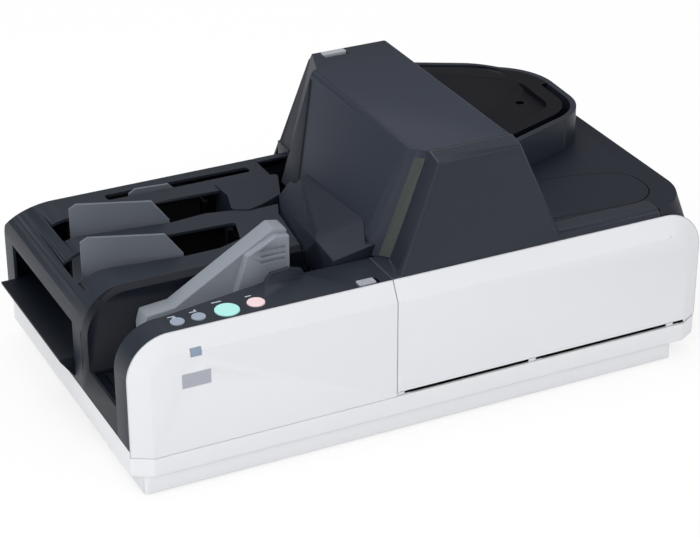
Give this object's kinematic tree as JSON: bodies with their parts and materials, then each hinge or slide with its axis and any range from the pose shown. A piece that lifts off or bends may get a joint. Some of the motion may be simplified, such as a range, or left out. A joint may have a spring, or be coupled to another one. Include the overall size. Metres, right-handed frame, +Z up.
{
  "type": "cheque scanner",
  "caption": "Desktop cheque scanner: upright feed hopper, hooded imaging section, U-turn loop and sorting pockets, with hinged front, rear and cartridge covers.",
  "frame": {"origin": "centre of the footprint, on the plane of the table", "axes": "+X along the long side towards the loop, +Y to the back, +Z up"},
  "size_m": [0.512, 0.29, 0.2178],
  "materials": {
    "white_shell": "fine satin moulding",
    "base_white": "fine satin moulding",
    "dark_shell": "fine grained moulding",
    "dark_hood": "fine grained moulding",
    "inner_black": "matt moulding",
    "guide_grey": "satin moulding",
    "plate_smoke": "satin moulding",
    "button_grey": "satin",
    "button_mint": "satin",
    "button_pink": "satin",
    "latch_grey": "satin",
    "badge_silver": "brushed",
    "lens_blue": "smooth",
    "rubber_black": "matt",
    "roller_rubber": "matt",
    "bright_steel": "bright",
    "zinc_plate": "zinc plated",
    "hopper_grey": "anodised",
    "frame_grey": "matt moulding",
    "sensor_black": "matt",
    "clear_glass": "polished",
    "board_green": "solder mask",
    "motor_case": "drawn",
    "belt_black": "matt",
    "cartridge_black": "moulded",
    "socket_black": "moulded",
    "socket_steel": "bright"
  },
  "bodies": {
    "root": {"base_tray": "base_white", "rubber_feet": "rubber_black", "chassis_plate": "zinc_plate", "chassis_screws": "bright_steel", "hinge_pins": "bright_steel", "front_left_cover": "white_shell", "badge_plate": "badge_silver", "indicator_lens": "lens_blue", "control_panel": "dark_shell", "button_board": "board_green", "hopper_tray": "dark_shell", "hopper_plate": "hopper_grey", "guide_rail": "bright_steel", "pocket_cover": "dark_shell", "sorter_lip": "dark_shell", "pocket_tub": "inner_black", "plate_pivots": "bright_steel", "diverter_housing": "dark_hood", "hood_shell": "dark_hood", "hood_ramp": "dark_shell", "right_deck": "dark_shell", "lid_seat": "inner_black", "ink_cartridge": "cartridge_black", "loop_guide": "dark_shell", "loop_island": "dark_shell", "path_frame": "frame_grey", "front_image_sensor": "sensor_black", "rear_image_sensor": "sensor_black", "sensor_glass": "clear_glass", "magnetic_head": "motor_case", "transport_motor": "motor_case", "drive_belt": "belt_black", "main_board": "board_green", "power_inlet": "socket_black", "interface_port": "socket_steel"},
    "front_cover": {"front_panel": "white_shell", "front_cap": "dark_hood"},
    "front_latch": {"front_latch": "latch_grey"},
    "rear_cover": {"rear_cover": "dark_hood"},
    "hood_latch": {"hood_latch": "latch_grey"},
    "access_lid": {"access_lid": "dark_shell"},
    "document_guide": {"document_guide": "guide_grey"},
    "pressure_plate_1": {"pressure_plate_1": "plate_smoke"},
    "pressure_plate_2": {"pressure_plate_2": "plate_smoke"},
    "pressure_plate_3": {"pressure_plate_3": "plate_smoke"},
    "menu_button_left": {"menu_button_left": "button_grey"},
    "menu_button_right": {"menu_button_right": "button_grey"},
    "start_button": {"start_button": "button_mint"},
    "stop_button": {"stop_button": "button_pink"},
    "feed_roller": {"feed_roller": "roller_rubber"},
    "separation_roller": {"separation_roller": "roller_rubber"},
    "drive_roller_front": {"drive_roller_front": "roller_rubber"},
    "drive_roller_turn": {"drive_roller_turn": "roller_rubber"},
    "loop_roller": {"loop_roller": "roller_rubber"},
    "pinch_roller_1": {"pinch_roller_1": "roller_rubber"},
    "pinch_roller_2": {"pinch_roller_2": "roller_rubber"},
    "pinch_roller_3": {"pinch_roller_3": "roller_rubber"},
    "motor_pulley": {"motor_pulley": "zinc_plate"},
    "diverter_gate_back": {"diverter_gate_back": "inner_black"},
    "diverter_gate_front": {"diverter_gate_front": "inner_black"}
  },
  "joints": [
    {"name": "front_cover_hinge", "type": "hinge", "parent": "root", "child": "front_cover", "pos_m": [0.006, -0.1432, 0.0343], "axis": [1, 0, 0], "range_deg": [0, 60]},
    {"name": "front_latch_slide", "type": "slide", "parent": "root", "child": "front_latch", "axis": [1, 0, 0], "range_m": [0, 0.0028], "stiffness_N_per_m": 200},
    {"name": "rear_cover_hinge", "type": "hinge", "parent": "root", "child": "rear_cover", "pos_m": [0.006, 0.1432, 0.0408], "axis": [-1, 0, 0], "range_deg": [0, 60]},
    {"name": "hood_latch_slide", "type": "slide", "parent": "rear_cover", "child": "hood_latch", "axis": [0, -1, 0], "range_m": [0, 0.0028], "stiffness_N_per_m": 200},
    {"name": "access_lid_hinge", "type": "hinge", "parent": "root", "child": "access_lid", "pos_m": [0.13035, -0.07, 0.13675], "axis": [0, -1, 0], "range_deg": [0, 75]},
    {"name": "document_guide_slide", "type": "slide", "parent": "root", "child": "document_guide", "axis": [0, 1, 0], "range_m": [-0.012, 0.003]},
    {"name": "pressure_plate_1_swing", "type": "hinge", "parent": "root", "child": "pressure_plate_1", "pos_m": [-0.1465, -0.017, 0.06], "axis": [0, 0, 1], "range_deg": [0, 12], "stiffness_Nm_per_rad": 0.02},
    {"name": "pressure_plate_2_swing", "type": "hinge", "parent": "root", "child": "pressure_plate_2", "pos_m": [-0.1345, 0.042, 0.06], "axis": [0, 0, 1], "range_deg": [0, 12], "stiffness_Nm_per_rad": 0.02},
    {"name": "pressure_plate_3_swing", "type": "hinge", "parent": "root", "child": "pressure_plate_3", "pos_m": [-0.106, 0.1006, 0.06], "axis": [0, 0, 1], "range_deg": [0, 5], "stiffness_Nm_per_rad": 0.02},
    {"name": "menu_button_left_press", "type": "slide", "parent": "root", "child": "menu_button_left", "axis": [0, 0, -1], "range_m": [0, 0.001], "stiffness_N_per_m": 500},
    {"name": "menu_button_right_press", "type": "slide", "parent": "root", "child": "menu_button_right", "axis": [0, 0, -1], "range_m": [0, 0.001], "stiffness_N_per_m": 500},
    {"name": "start_button_press", "type": "slide", "parent": "root", "child": "start_button", "axis": [0, 0, -1], "range_m": [0, 0.001], "stiffness_N_per_m": 500},
    {"name": "stop_button_press", "type": "slide", "parent": "root", "child": "stop_button", "axis": [0, 0, -1], "range_m": [0, 0.001], "stiffness_N_per_m": 500},
    {"name": "drive_roller_turn_spin", "type": "hinge", "parent": "root", "child": "drive_roller_turn", "pos_m": [0.10119, -0.05228, 0.06], "axis": [0, 0, 1], "continuous": true},
    {"name": "drive_roller_front_spin", "type": "hinge", "parent": "root", "child": "drive_roller_front", "pos_m": [0.01715, -0.0897, 0.06], "axis": [0, 0, 1], "continuous": true},
    {"name": "loop_roller_spin", "type": "hinge", "parent": "root", "child": "loop_roller", "pos_m": [0.21845, 0.062, 0.06], "axis": [0, 0, 1], "continuous": true},
    {"name": "feed_roller_spin", "type": "hinge", "parent": "root", "child": "feed_roller", "pos_m": [-0.097, -0.1035, 0.06], "axis": [0, 0, 1], "continuous": true},
    {"name": "motor_pulley_spin", "type": "hinge", "parent": "root", "child": "motor_pulley", "pos_m": [0.026, 0, 0.06], "axis": [0, 0, 1], "continuous": true},
    {"name": "pinch_roller_1_spin", "type": "hinge", "parent": "root", "child": "pinch_roller_1", "pos_m": [0.01048, -0.07472, 0.06], "axis": [0, 0, 1], "continuous": true},
    {"name": "pinch_roller_2_spin", "type": "hinge", "parent": "root", "child": "pinch_roller_2", "pos_m": [0.09452, -0.0373, 0.06], "axis": [0, 0, 1], "continuous": true},
    {"name": "pinch_roller_3_spin", "type": "hinge", "parent": "root", "child": "pinch_roller_3", "pos_m": [0.23485, 0.062, 0.06], "axis": [0, 0, 1], "continuous": true},
    {"name": "separation_roller_spin", "type": "hinge", "parent": "root", "child": "separation_roller", "pos_m": [-0.042, -0.0843, 0.06], "axis": [0, 0, 1], "continuous": true},
    {"name": "diverter_gate_back_swing", "type": "hinge", "parent": "root", "child": "diverter_gate_back", "pos_m": [-0.086, 0.09, 0.06], "axis": [0, 0, 1], "range_deg": [-12, 12], "stiffness_Nm_per_rad": 0.01},
    {"name": "diverter_gate_front_swing", "type": "hinge", "parent": "root", "child": "diverter_gate_front", "pos_m": [-0.087, 0.032, 0.06], "axis": [0, 0, 1], "range_deg": [-12, 12], "stiffness_Nm_per_rad": 0.01}
  ],
  "couplings": [
    {"joint": "drive_roller_front_spin", "follows": "drive_roller_turn_spin", "ratio": 1},
    {"joint": "loop_roller_spin", "follows": "drive_roller_turn_spin", "ratio": 1},
    {"joint": "feed_roller_spin", "follows": "drive_roller_turn_spin", "ratio": 1},
    {"joint": "motor_pulley_spin", "follows": "drive_roller_turn_spin", "ratio": 1},
    {"joint": "pinch_roller_1_spin", "follows": "drive_roller_turn_spin", "ratio": -1.2857},
    {"joint": "pinch_roller_2_spin", "follows": "drive_roller_turn_spin", "ratio": -1.2857},
    {"joint": "pinch_roller_3_spin", "follows": "drive_roller_turn_spin", "ratio": -1.2857}
  ]
}
